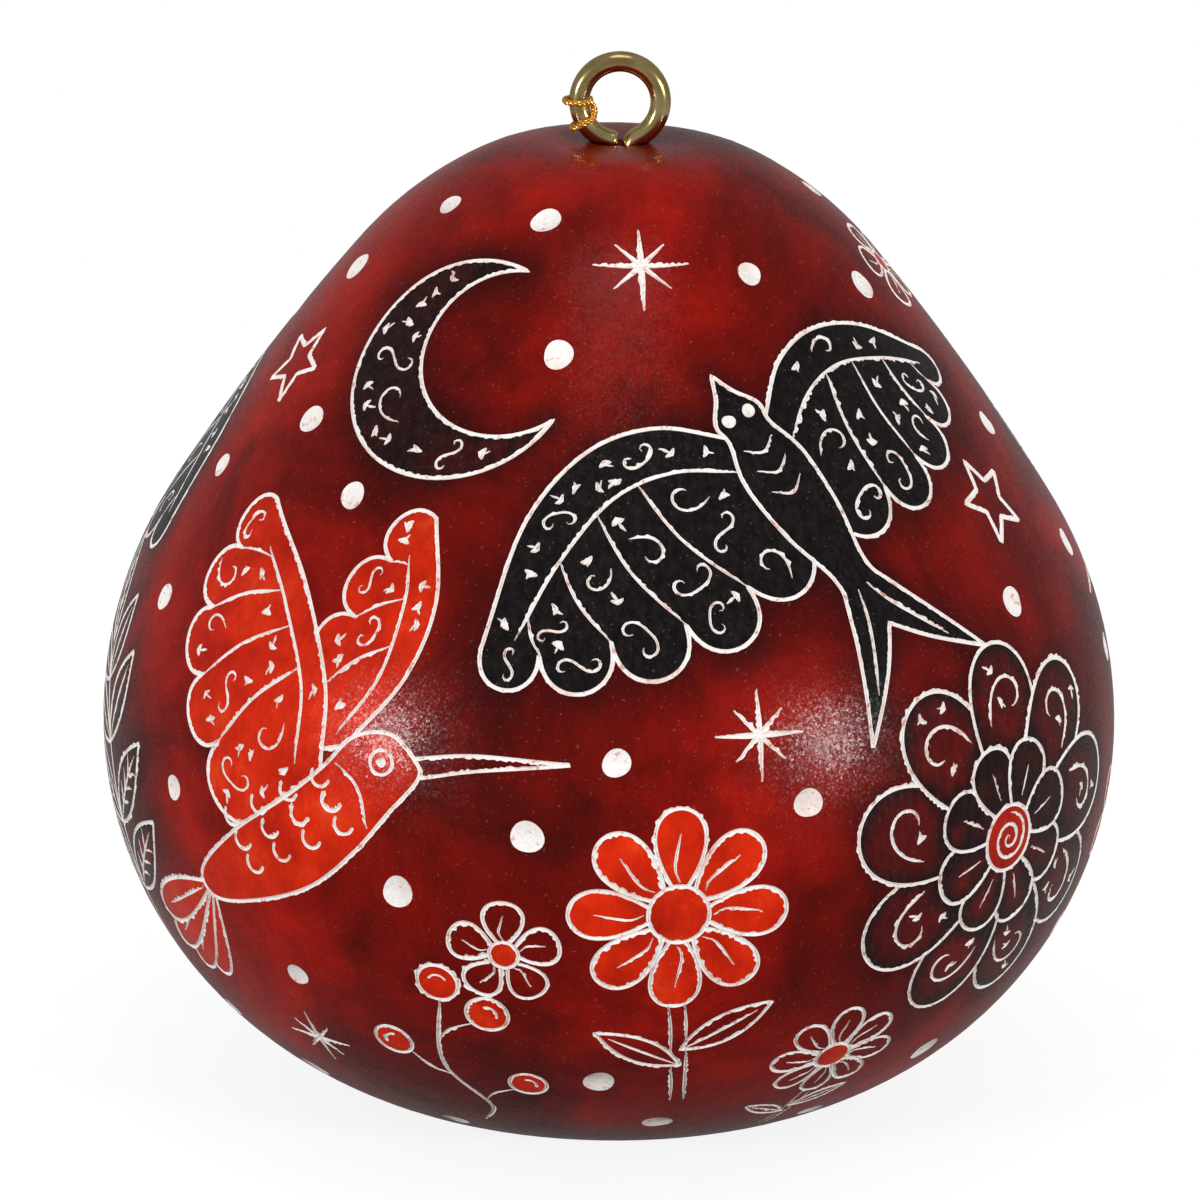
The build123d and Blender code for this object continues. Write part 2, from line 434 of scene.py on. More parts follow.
class Carving:
    """The drawing: strokes, scooped dots and dyed fields. What is drawn first lies in front."""

    def __init__(self):
        self.strokes = []
        self.scoops = []
        self.dyes = []
        self.covers = []

    def stroke(self, bearing, width=OUTLINE_WIDTH, taper=STROKE_TAPER, closed=False, depth=STROKE_DEPTH):
        """Cuts a line, apart from what lies behind a cover."""
        if closed:
            bearing = np.append(bearing, bearing[0])
        along = running_sum(abs(np.diff(bearing)) * radius_at((bearing[1:] + bearing[:-1]) / 2))
        count = max(3, round(along[-1] / STROKE_STEP) + 1)
        middle = np.interp(np.linspace(0, along[-1], count), along, bearing)
        shown = np.ones(count, bool)
        for cover in self.covers:
            shown &= ~inside(middle, cover)
        edges = np.flatnonzero(np.diff(np.concatenate([[0], shown.astype(int), [0]])))
        for first, last in zip(edges[::2], edges[1::2]):
            if last - first >= 3:
                whole = closed and last - first == count
                self.keep(middle[first:last], width, 0 if closed else taper, depth, whole)

    def keep(self, middle, width, taper, depth, closed):
        """Stores one run of a stroke with the hand's unevenness."""
        if closed:
            middle = middle[:-1]
        count = len(middle)
        ahead = np.gradient(middle)
        ahead /= np.maximum(abs(ahead), TINY)
        lip = RAGGED_LIP * chance.uniform(*RAGGED_RANGE)
        teeth = lip * chance.random(count) ** 2 * chance.choice([-1, 1])
        half = width * chance.uniform(*WIDTH_RANGE) / 2 + abs(teeth) / 2
        if taper:
            from_end = np.minimum(np.arange(count), np.arange(count)[::-1]) * STROKE_STEP
            half *= np.clip(STROKE_TIP_SHARE + (1 - STROKE_TIP_SHARE) * from_end / taper, 0, 1)
        shift = (teeth / 2 - np.mean(teeth) / 2) / radius_at(middle)
        self.strokes.append((middle + 1j * ahead * shift, half, depth, closed))

    def scoop(self, bearing, radius):
        """Scoops out a round dot."""
        self.scoops.append((complex(bearing), radius))

    def dye(self, field, near, far=None, focus=None, reach=1.0):
        """Dyes a field from near to far, by the distance from a focus."""
        focus = field.mean() if focus is None else focus
        self.dyes.append((field, near, far or near, focus, reach))

    def nick(self, bearing, turned):
        """Gouges a small comma: a short body with a thin tail to one side."""
        body = bearing + turned * curve(-0.42, 0.14j, 0.38, steps=3)
        self.stroke(body, NICK_WIDTH * chance.uniform(*NICK_WIDTH_RANGE), NICK_TAPER, depth=NICK_DEPTH)
        tip = chance.uniform(*TAIL_RANGE) * way(chance.uniform(*TAIL_ANGLES) * chance.choice([-1, 1]))
        self.stroke(bearing + turned * np.linspace(0, tip, 4), TAIL_WIDTH, NICK_TAPER)
        return body

    def marks(self):
        """Bearings of everything cut so far."""
        lines = [middle for middle, _, _, _ in self.strokes]
        return np.concatenate([*lines, [centre for centre, _ in self.scoops]])

    def fill(self, field, scroll_size, scrolls, nicks):
        """Fills a field with scrolls of two sizes, and nicks between them."""
        taken = self.marks()
        taken = taken[abs(beside(taken, field.imag.mean()) - field.mean()) < FILL_WINDOW]
        low = field.real.min() + 1j * field.imag.min()
        span = field.real.max() + 1j * field.imag.max() - low
        sizes = (scroll_size, SMALL_SCROLL * scroll_size, NICK_SIZE)
        for size, wanted in zip(sizes, (scrolls, scrolls, nicks)):
            for _ in range(FILL_TRIES * wanted):
                bearing = low + chance.random() * span.real + 1j * chance.random() * span.imag
                free = gap_to(taken, bearing) > FILL_SPREAD * size + FILL_GAP
                if free and inside(np.array([bearing]), field)[0]:
                    turned = cmath.exp(1j * TURN * chance.random()) / radius_at(bearing)
                    if size > NICK_SIZE:
                        drawn = bearing + turned * size * scroll(chance.integers(3), chance.choice([-1, 1]))
                        self.stroke(drawn, SCROLL_WIDTH, SCROLL_TAPER)
                    else:
                        drawn = self.nick(bearing, turned)
                    taken = np.append(taken, drawn)

    def scatter_dots(self):
        """Scoops dots wherever the ground is free, about evenly."""
        marks = self.marks()
        dots = np.zeros(0, complex)
        heights = chance.uniform(*DOT_HEIGHTS, DOT_TRIES)
        angles = chance.uniform(-180, 180, DOT_TRIES)
        for angle, height in zip(angles, heights):
            bearing = bearing_at(angle, height)
            if gap_to(marks, bearing) > DOT_CLEARANCE and gap_to(dots, bearing) > DOT_SPACING:
                dots = np.append(dots, bearing)
                self.scoop(bearing, DOT_RADIUS * chance.uniform(*DOT_RADIUS_RANGE))


class Spot:
    """A place on the rind where a motif is drawn in millimetres, with x to the right and y up."""

    def __init__(self, carving, angle, height, size=1.0, turn=0.0, flip=False):
        self.carving = carving
        self.root = bearing_at(angle, height)
        self.scale = size * way(turn) / radius_at(self.root)
        self.flip = flip

    def bearings(self, points):
        """The bearings of points."""
        points = np.atleast_1d(np.asarray(points, complex))
        if self.flip:
            points = -points.conj()
        return self.root + 1j * np.conj(points * self.scale)

    def bearing(self, point):
        """The bearing of one point."""
        return self.bearings(point)[0]

    def cut(self, points, width=OUTLINE_WIDTH, taper=STROKE_TAPER, closed=False):
        """Cuts a line and returns its bearings."""
        line = self.bearings(points)
        self.carving.stroke(line, width, taper, closed)
        return line

    def fine(self, points, taper=STROKE_TAPER, closed=False):
        """Cuts a fine line."""
        self.cut(points, FINE_WIDTH, taper, closed)

    def dot(self, point, radius):
        """Scoops out a round dot."""
        self.carving.scoop(self.bearing(point), radius)

    def field(self, points, near, far=None, focus=None, reach=1.0):
        """Cuts the outline of a field, dyes the field and returns its bearings."""
        field = self.cut(points, closed=True)
        self.carving.dye(field, near, far, focus, reach)
        return field

    def cover(self, field):
        """Puts what is drawn from now on behind a field."""
        self.carving.covers.append(field)


# Motifs

def star(spot, reach, waist):
    """An outlined star with five arms."""
    turns = np.arange(10)
    radii = np.where(turns % 2 == 0, reach, waist)
    corners = radii * np.exp(1j * (math.pi / 2 + math.pi * turns / 5))
    outline = polyline(np.append(corners, corners[0]), 8)[:-1]
    spot.cover(spot.cut(outline, STAR_WIDTH, closed=True))


def asterisk(spot, arms, reach):
    """A star of crossed cuts, every other one shorter."""
    for arm in range(arms):
        tip = reach * (1 if arm % 2 == 0 else 0.78) * way(90 + 180 * arm / arms)
        spot.cut(np.linspace(-tip, tip, 20), STAR_WIDTH, taper=2.2)


def flower(spot, petals, length, width, core, near, far):
    """A flower seen from the front, with a round core and dyed petals that have a vein each."""
    heart = spot.bearing(0)
    root = 0.6 * core
    spot.cover(spot.field(circle(0, core), POLLEN))
    for turned in ways_round(petals, 90):
        field = spot.field(turned * (root + petal(length, width)), near, far, heart, length + core)
        spot.fine(turned * curve(1.15 * core, root + 0.35 * length + 0.1j * width, root + 0.72 * length))
        spot.cover(field)


def dahlia(spot, reach, near, far):
    """A large flower with two rows of petals, each outer one with a crook, scrolls and nicks."""
    core = 0.17 * reach
    root = 0.5 * core
    heart = spot.bearing(0)
    middle = spot.field(circle(0, core), RUST)
    shares = np.linspace(0, 1, 40)
    spot.fine(0.78 * core * shares * np.exp(14j * shares))
    spot.cover(middle)
    for petals, tip, width, begin in ((8, 0.5 * reach, 0.3 * reach, 12.0), (9, reach, 0.5 * reach, 0.0)):
        for number, turned in enumerate(ways_round(petals, begin)):
            field = spot.field(turned * (root + petal(tip - root, width)), near, far, heart, reach)
            if tip < reach:
                spot.fine(turned * np.linspace(1.3 * core, 0.75 * tip, 8))
            else:
                crook = 0.7 + 0.17 * scroll(2, 1 if number % 2 else -1)
                spot.fine(turned * tip * crook, SHORT_TAPER)
                spot.carving.fill(field, scroll_size=1.3, scrolls=1, nicks=3)
            spot.cover(field)


def leaf(spot, root, angle, length, width, dye=None):
    """A leaf with a midrib, and veins if it is long."""
    turned = way(angle)
    outline = root + turned * petal(length, width, 1.2)
    if dye:
        field = spot.field(outline, *dye, spot.bearing(root), length)
    else:
        field = spot.cut(outline, closed=True)
    spot.fine(root + turned * np.linspace(0.02 * length, 0.84 * length, 12))
    if length > VEINED_LENGTH:
        for share in (0.25, 0.42, 0.59):
            for side in (-1, 1):
                bend = (share + 0.1) * length + 0.17j * side * width
                end = (share + 0.14) * length + 0.3j * side * width
                spot.fine(root + turned * curve(share * length, bend, end), SHORT_TAPER)
    spot.cover(field)


def stem(spot, *points):
    """A stem of two lines."""
    line = curve(*points)
    normal = 1j * np.gradient(line)
    normal /= abs(normal)
    for side in (-0.45, 0.45):
        spot.fine(line + side * normal)


def daisy(spot, bend, near, far):
    """A small flower on its stem, with two leaves."""
    flower(spot, 8, 4.8, 2.7, 1.6, near, far)
    foot = bend - 15.0j
    leaf(spot, 0.62 * foot, 35, 6.0, 2.0)
    leaf(spot, 0.72 * foot, 150, 6.0, 2.0)
    stem(spot, -4j, 0.4 * bend - 8j, foot)


def berry_sprig(spot, height, berries):
    """A thin sprig with round berries on alternate sides and one at its tip."""
    line = curve(0, 0.25j * height + 1.2, 0.6j * height - 0.6, 1j * height)
    for number in range(berries):
        root = foot = line[int((1 - 0.19 * number) * (len(line) - 1))]
        lean = 90
        if number:
            lean = 40 if number % 2 else 140
            foot = root + 2.6 * way(lean)
        middle = foot + way(lean)
        berry = spot.field(circle(middle, 1.0), RED)
        spot.cut(arc(middle, 0.45, lean - 60, 120, 9), SCROLL_WIDTH, taper=0)
        spot.cover(berry)
        if number:
            spot.fine(curve(root, root + 1.2 * way(lean + 15), foot))
    spot.cut(line)


def leaf_spray(spot, length, pairs, dye):
    """A bent spray of paired leaves with one at its tip."""
    line = curve(0, 0.35j * length + 1.6, 0.7j * length + 1.2, 1j * length - 1.2)
    angles = [math.degrees(cmath.phase(ahead)) for ahead in np.gradient(line)]
    leaf(spot, line[-1], angles[-1], 0.3 * length, 0.11 * length, dye)
    for pair in range(pairs):
        stop = int((0.92 - 0.72 * pair / pairs) * (len(line) - 1))
        grown = (0.26 + 0.03 * pair) * length
        for side in (-1, 1):
            leaf(spot, line[stop], angles[stop] + side * 48, grown, 0.36 * grown, dye)
    spot.cut(line)


def wing(spot, leading, notches, bulge, coverts, near, far, root):
    """A wing of rounded feathers along a leading edge, with a row of short feathers under it."""
    lobes = []
    turn = np.linspace(0, math.pi, 24)[:-1]
    for start, end in zip([leading[-1], *notches], notches):
        across = (end - start) / 2
        lobes.append((start + end) / 2 - across * np.cos(turn) + 2j * bulge * across * np.sin(turn) ** 0.8)
    heart = spot.bearing(root)
    reach = abs(leading[-1] - root) * abs(spot.scale) * radius_at(heart)
    field = spot.field(np.concatenate([leading, *lobes, [notches[-1]]]), near, far, heart, reach)
    stops = np.linspace(0.06, 0.94, len(notches) + 1)
    for stop, notch in zip(stops[::-1], notches[:-1]):
        top = coverts[int(stop * (len(coverts) - 1))]
        spot.fine(curve(notch, 0.5 * (notch + top) + 0.06j * (top - notch), top))
    spot.fine(coverts)
    spot.carving.fill(field, scroll_size=1.5, scrolls=16, nicks=22)
    spot.cover(field)


def swallow(spot):
    """A black bird seen from above with spread wings and a forked tail."""
    head = [13.5j, 1.1 + 11j, 2.7 + 8.6j, 2.5 + 6.4j]
    flank = curve(*head, 3.5 + 2.5j, 3.0 - 3j, 1.7 - 8j, 2.6 - 11j, 6.2 - 19j)
    fork = curve(6.2 - 19j, 2.4 - 15.5j, -12.8j)
    right = np.concatenate([flank[:-1], fork])
    body = spot.field(np.concatenate([right, -right[-2:0:-1].conj()]), BLACK)
    for side in (-1, 1):
        spot.dot(1.25 * side + 8.4j, 0.5)
        spot.fine(curve(0.5 * side - 9.5j, 1.5 * side - 12j, 3.9 * side - 16.3j))
    for drop in (0j, 2.2j, 4.4j):
        spot.fine(curve(-1.7 + 5.2j - drop, 4.2j - drop, 1.7 + 5.2j - drop))
    spot.cover(body)
    leading = curve(1.8 + 6.6j, 8 + 11j, 15 + 11.4j, 22 + 7.2j, 28 - 1.5j)
    notches = np.array([24.2 - 3.2j, 19.2 - 4.2j, 13.8 - 5.2j, 8.2 - 4.8j, 2.4 - 2j])
    coverts = curve(2.6 + 3.4j, 8.5 + 6.4j, 14.5 + 6.4j, 20.5 + 3j, 25.5 - 1.6j)
    wing(spot, leading, notches, 0.62, coverts, BLACK, BLACK, 0)
    wing(spot, -leading.conj(), -notches.conj(), -0.62, -coverts.conj(), BLACK, BLACK, 0)


def hummingbird(spot, near, far):
    """A bird seen from its side, hovering with raised wings, its bill to the right."""
    root = 2 + 2j
    heart = spot.bearing(root)
    reach = 14.0
    back = [10.6 + 7.4j, 8.6 + 9j, 5.8 + 8.5j, 3.6 + 6.2j, 0.5 + 3.6j, -4.5 + 0.2j, -8.4 - 3.4j]
    belly = [-7.3 - 5.3j, -2.5 - 4.4j, 2.5 - 2.4j, 6.2 + 0.6j, 8.8 + 3.6j, 10.9 + 6.1j]
    body = spot.field(curve(*back, *belly, closed=True), near, far, heart, reach)
    eye_place = 8.1 + 7.0j
    spot.fine(circle(eye_place, 0.85), closed=True)
    spot.dot(eye_place, 0.36)
    spot.fine(curve(4.6 + 6.6j, 6.4 + 5.0j, 7.2 + 2.4j))
    for row in range(4):
        for column in range(3):
            middle = 5.4 - 2.6 * row + (2.5 - 1.35 * row) * 1j + column * (-1.0 + 1.5j)
            spot.fine(arc(middle, 0.75, 150, 190, 9), taper=0)
    spot.cover(body)
    bill = [curve(10.5 + 7.5j, 15 + 8j, 21.5 + 7.6j)[:-1], curve(21.5 + 7.6j, 15 + 7j, 10.9 + 6.2j)]
    spot.fine(np.concatenate(bill), taper=0)
    leading = curve(3.4 + 5.8j, 2.8 + 12j, -1.5 + 19j, -8.5 + 25j)
    notches = [-9.8 + 20.2j, -10.2 + 15.2j, -9 + 10.4j, -6.2 + 6.2j, -1.6 + 2.2j]
    coverts = curve(1.2 + 6j, 0.8 + 11.5j, -2.6 + 17j, -6.6 + 21j)
    wing(spot, leading, notches, -0.5, coverts, near, far, root)
    leading = curve(5.2 + 7.8j, 9.2 + 13j, 10.6 + 19j, 9 + 26j)
    notches = [6.0 + 21.8j, 4.2 + 17j, 3 + 12j, 2.2 + 7j]
    coverts = curve(4.4 + 8.5j, 7.2 + 13j, 8 + 18.5j, 7.4 + 22.5j)
    wing(spot, leading, notches, -0.5, coverts, near, far, root)
    tail = -7.4 - 4.2j
    for angle, length in ((206, 10.5), (220, 11.5), (234, 11.0), (248, 9.5)):
        field = spot.field(tail + way(angle) * petal(length, 3.2), near, far, heart, reach + length)
        spot.fine(tail + way(angle) * np.linspace(1.5, 0.8 * length, 10))
        spot.cover(field)


def moon(spot, reach, near, far):
    """A crescent filled with scrolls."""
    outer = arc(0, reach, 48, 264, 60)
    inner = arc(0.42 * reach, 0.79 * reach, -70, -220, 46)
    outline = np.concatenate([outer, inner[1:-1]])
    field = spot.field(outline, near, far, spot.bearing(-0.8 * reach), 1.6 * reach)
    spot.carving.fill(field, scroll_size=1.7, scrolls=7, nicks=10)
    spot.cover(field)


def sun(spot, reach, near, far):
    """A round sun with straight and wavy rays by turns."""
    heart = spot.bearing(0)
    core = 0.42 * reach
    field = spot.field(circle(0, core), near, far, heart, reach)
    spot.fine(circle(0, 0.8 * core), closed=True)
    for turned in ways_round(8):
        spot.fine(turned * petal(0.7 * core, 0.3 * core), closed=True)
    spot.carving.fill(field, scroll_size=0, scrolls=0, nicks=12)
    spot.cover(field)
    straight = polyline(np.array([core - 0.26j * core, reach, core + 0.26j * core]), 10)
    tip = 1.05 * reach
    out = curve(core - 0.24j * core, 0.62 * reach - 0.2j * core, 0.8 * reach + 0.05j * core, tip)
    back = curve(tip, 0.78 * reach + 0.3j * core, 0.6 * reach + 0.14j * core, core + 0.24j * core)
    wavy = np.concatenate([out[:-1], back])
    for number, turned in enumerate(ways_round(14)):
        spot.cover(spot.field(turned * (straight if number % 2 else wavy), near, far, heart, reach))


def draw():
    """The whole drawing, from the front round to the back."""
    carving = Carving()
    spot = partial(Spot, carving)
    swallow(spot(27, 52.5, 0.82, 24))
    hummingbird(spot(-38, 27, 1.05, 2), RED, EMBER)
    daisy(spot(8, 25, 1.35), 1.2, EMBER, RED)
    dahlia(spot(50, 27, 1.0, 8), 14.5, DUSK, DARK)
    daisy(spot(31, 11.5, 0.85), -1.0, PLAIN, PLAIN)
    moon(spot(-30, 60.5, 0.9, 20), 9.5, BLACK, DARK)
    leaf_spray(spot(-73, 9, 1.0, 8), 24, 4, (DARK, DUSK))
    flower(spot(-11, 21.5, 0.75), 5, 4.6, 3.8, 1.4, PLAIN, PLAIN)
    star(spot(64, 49, 1.0, 10), 3.4, 1.5)
    star(spot(-70, 57, 1.0, -12), 3.2, 1.4)
    asterisk(spot(6, 66.5), 4, 3.4)
    asterisk(spot(17, 37.5), 4, 3.2)
    asterisk(spot(-40, 11), 4, 2.8)
    berry_sprig(spot(-19, 5, 1.1), 12, 4)
    sun(spot(172, 41, 1.0, 6), 14, EMBER, RED)
    hummingbird(spot(112, 38, 0.8, 14, True), DUSK, DARK)
    swallow(spot(-112, 51, 0.68, -20))
    dahlia(spot(-128, 24, 0.92), 12.5, RED, EMBER)
    daisy(spot(86, 22, 1.1), 1.0, EMBER, RED)
    daisy(spot(-98, 22, 1.05), 1.4, PLAIN, PLAIN)
    daisy(spot(-160, 18, 1.05), 1.2, PLAIN, PLAIN)
    berry_sprig(spot(105, 7, 0.95), 15, 5)
    leaf_spray(spot(137, 6, 0.9, -6), 23, 4, (DUSK, DARK))
    berry_sprig(spot(164, 6, 0.95), 14, 4)
    flower(spot(87, 63.5, 0.7), 5, 4.6, 3.8, 1.4, PLAIN, PLAIN)
    star(spot(-158, 57, 1.0, 14), 3.2, 1.4)
    star(spot(138, 60), 3.0, 1.3)
    asterisk(spot(-170, 65), 4, 3.0)
    asterisk(spot(116, 65), 3, 2.6)
    asterisk(spot(-104, 36), 4, 2.8)
    asterisk(spot(120, 23), 4, 2.6)
    carving.scatter_dots()
    return carving


# The rind's mesh

def smooth_object(name, points, faces):
    """An object with one smooth mesh, from points in metres."""
    mesh = bpy.data.meshes.new(name)
    mesh.from_pydata(points, [], faces)
    mesh.polygons.foreach_set("use_smooth", np.ones(len(faces), bool))
    return bpy.data.objects.new(name, mesh)


def nearest_gaps(points, marks):
    """How far each point lies from the nearest mark."""
    tree = KDTree(len(marks))
    for number, mark in enumerate(marks):
        tree.insert(mark, number)
    tree.balance()
    return np.array([tree.find(point)[2] for point in points])


def ground_bearings():
    """An even net of bearings over the gourd, finer in the dip round the eye."""
    rows = []
    rise, odd = 0.0, 0
    while rise < OUTLINE_RISE[-1]:
        point, _ = outline_at(np.array(rise + 0j))
        in_dip = point.imag > CROWN.imag and point.real < DIP_RIM.real
        step = CROWN_STEP if in_dip else min(GROUND_STEP, POLE_STEP + POLE_STEP_GROWTH * point.real)
        count = max(GROUND_LEAST_COUNT, round(TURN * point.real / step))
        rows.append(rise + 1j * (TURN * (np.arange(count) + odd / 2) / count))
        rise, odd = rise + ROW_SHARE * TURN / count, 1 - odd
    rim = OUTLINE_RISE[-1] + 1j * TURN * np.arange(CAP_CORNERS) / CAP_CORNERS
    return np.concatenate([*rows, rim])


def constraints(carving):
    """Bearings and edges of the strokes' two lips and floors, and of the dots' rims."""
    bearings, edges, count = [], [], 0

    def chain(points, closed):
        nonlocal count
        numbers = count + np.arange(len(points))
        bearings.append(points)
        edges.append(np.stack([numbers[:-1], numbers[1:]], axis=1))
        if closed:
            edges.append([[numbers[-1], numbers[0]]])
        count += len(points)

    for middle, half, _, closed in carving.strokes:
        ahead = np.roll(middle, -1) - np.roll(middle, 1) if closed else np.gradient(middle)
        ahead = ahead / np.maximum(abs(ahead), TINY) * half / radius_at(middle)
        left, right = middle + 1j * ahead, middle - 1j * ahead
        if closed:
            chain(left, True)
            chain(right, True)
        else:
            lips = [middle[:1] - ahead[:1], left, middle[-1:] + ahead[-1:], right[::-1]]
            chain(np.concatenate(lips), True)
        chain(middle, closed)
    turns = even_turns(DOT_CORNERS)
    for centre, radius in carving.scoops:
        spread = radius / radius_at(np.array(centre))
        uneven = 1
        for share, waves in DOT_WAVES:
            uneven = uneven + share * np.sin(waves * turns + chance.uniform(*DOT_PHASES))
        chain(centre + spread * np.exp(1j * turns) * uneven, True)
        chain(centre + BOWL_SHARE * spread * np.exp(1j * turns[::3]), True)
        bearings.append([centre])
        count += 1
    return np.concatenate(bearings), np.concatenate(edges)


def rind_net(carving):
    """Bearings and faces of a net over the whole rind, whose edges follow every cut."""
    fixed, edges = constraints(carving)
    ground = ground_bearings()
    clear = nearest_gaps(surface(ground), surface(fixed)) > GROUND_CLEARANCE
    flat = np.exp(np.concatenate([fixed, ground[clear]]))
    flat_points = [Vector((place.real, place.imag)) for place in flat]
    corners, _, faces, _, _, _ = delaunay_2d_cdt(flat_points, edges.tolist(), [], 0, NET_MERGE, False)
    return np.log(np.array([complex(*corner) for corner in corners])), np.array(faces)[:, ::-1]


def groove_depth(points, line, halves, deepest):
    """How deep points lie in a V-groove along a line."""
    start, run = line[:-1], np.diff(line, axis=0)
    length = np.maximum((run * run).sum(axis=-1), TINY)
    share = np.clip(((points[:, None] - start) * run).sum(axis=-1) / length, 0, 1)
    apart = np.linalg.norm(points[:, None] - start - share[..., None] * run, axis=-1)
    lip = halves[:-1] + share * np.diff(halves)
    return (deepest * np.clip(1 - apart / lip, 0, 1)).max(axis=1)


def bowl_depth(points, middle, radius):
    """How deep points lie in a scooped dot."""
    share = np.linalg.norm(points - middle, axis=1) / radius
    return SCOOP_DEPTH * np.clip(1 - share**2, 0, 1)


def carved_depth(carving, points):
    """How deep points of the uncarved rind are cut."""
    depth = np.zeros(len(points))
    order = np.argsort(points[:, 2])
    heights = points[order, 2]

    def deepen(low, high, profile, *shape):
        first, last = np.searchsorted(heights, (low[2], high[2]))
        near = order[first:last]
        near = near[((points[near, :2] > low[:2]) & (points[near, :2] < high[:2])).all(axis=1)]
        if len(near):
            depth[near] = np.maximum(depth[near], profile(points[near], *shape))

    for middle, half, deepest, closed in carving.strokes:
        line = surface(np.append(middle, middle[:1]) if closed else middle)
        width = np.append(half, half[:1]) if closed else half
        for first in range(0, len(line) - 1, GROOVE_RUN):
            part, halves = (whole[first:first + GROOVE_RUN + 1] for whole in (line, width))
            low, high = part.min(axis=0) - GROOVE_MARGIN, part.max(axis=0) + GROOVE_MARGIN
            deepen(low, high, groove_depth, part, halves, deepest)
    for centre, radius in carving.scoops:
        middle = surface(np.array([centre]))[0]
        deepen(middle - radius, middle + radius, bowl_depth, middle, radius)
    return depth


def dye_corners(carving, points, faces, faces_middle):
    """Black, bright red and smoke at each face's corners."""
    corners = np.zeros((*faces.shape, 4), np.float32)
    free = np.ones(len(faces), bool)
    outlines = []
    for field, near, far, focus, reach in carving.dyes:
        chosen = np.flatnonzero(free)
        chosen = chosen[inside(faces_middle[chosen], field)]
        free[chosen] = False
        share = np.linalg.norm(points[faces[chosen]] - surface(np.array([focus]))[0], axis=-1) / reach
        share = np.clip(share, 0, 1)[..., None]
        corners[chosen, :, :2] = np.array(near) * (1 - share) + np.array(far) * share
        if max(near[0], far[0]) > SMOKING_BLACK:
            outlines.append(surface(field[::2]))
    apart = nearest_gaps(points, np.concatenate(outlines))
    edge, halo, cloud = (np.exp(-((apart / reach) ** 2)) for reach in (EDGE_REACH, HALO_REACH, CLOUD_REACH))
    corners[..., 0] = np.maximum(corners[..., 0], edge[faces] * (corners[..., 0] > EDGED_BLACK))
    smoke = HALO_SHARE * halo + CLOUD_SHARE * cloud
    corners[..., 2] = smoke[faces] * free[:, None]
    corners[..., 3] = 1
    return corners


def cavity_mesh():
    """The inside of the gourd: the outline one wall in, with the stem end left solid."""
    inner = (OUTLINE - WALL * (-1j * OUTLINE_WAY))[::CAVITY_STRIDE]
    side = inner[(inner.real > SEAT_INNER.real) & (inner.imag < STEM_TIP.imag + ROOF_RISE)]
    side = side[(side.real > STEM_ROOT_RADIUS - STEM_ROOT_OVERLAP) | (side.imag < BELLY.imag)]
    rings = np.append(side, [complex(STEM_TIP.real, side[-1].imag) + STEM_CORNER, STEM_TIP])
    turns = even_turns(CAVITY_SEGMENTS)
    points = np.stack([
        np.outer(rings.real, np.sin(turns)),
        np.outer(rings.real, -np.cos(turns)),
        np.outer(rings.imag, np.ones(CAVITY_SEGMENTS)),
    ], axis=-1).reshape(-1, 3)
    bottom, top = len(points), len(points) + 1
    points = np.concatenate([points, [[0, 0, DIMPLE.imag + WALL], [0, 0, STEM_TIP.imag]]])
    first = np.arange(CAVITY_SEGMENTS)
    following = (first + 1) % CAVITY_SEGMENTS
    faces = []
    for low in range(0, bottom - CAVITY_SEGMENTS, CAVITY_SEGMENTS):
        high = low + CAVITY_SEGMENTS
        faces.append(np.stack([low + first, high + first, low + following], axis=1))
        faces.append(np.stack([low + following, high + first, high + following], axis=1))
    last = bottom - CAVITY_SEGMENTS
    faces.append(np.stack([np.full(CAVITY_SEGMENTS, bottom), first, following], axis=1))
    faces.append(np.stack([last + first, np.full(CAVITY_SEGMENTS, top), last + following], axis=1))
    return points, np.concatenate(faces)


def bake_places(bearings, inside_points, faces, capped):
    """Where the faces' corners lie on the sheet for baking."""
    turns = np.concatenate([bearings.imag, np.arctan2(inside_points[:, 0], -inside_points[:, 1])])[faces]
    turns += TURN * np.round((turns[:, :1] - turns) / TURN)
    rind_shares = np.interp(bearings.real, OUTLINE_RISE, OUTLINE_LENGTH / OUTLINE_LENGTH[-1])
    inside_shares = SHEET_INSIDE_START + SHEET_INSIDE_HEIGHT * inside_points[:, 2] / CROWN.imag
    shares = np.concatenate([rind_shares, inside_shares])[faces]
    places = np.stack([0.5 + SHEET_WIDTH * turns / TURN, SHEET_MARGIN + SHEET_HEIGHT * shares], axis=-1)
    disc = np.stack([np.cos(turns[capped]), np.sin(turns[capped])], axis=-1)
    places[capped] = SHEET_CAP + SHEET_CAP_RADIUS * disc
    return places.astype(np.float32)


def face_normals(points, faces):
    """Each face's own normal, given to its three corners."""
    first, second, third = (points[faces[:, corner]] for corner in range(3))
    facing = np.cross(second - first, third - first)
    facing /= np.maximum(np.linalg.norm(facing, axis=1, keepdims=True), TINY)
    return np.repeat(facing[:, None], 3, axis=1)


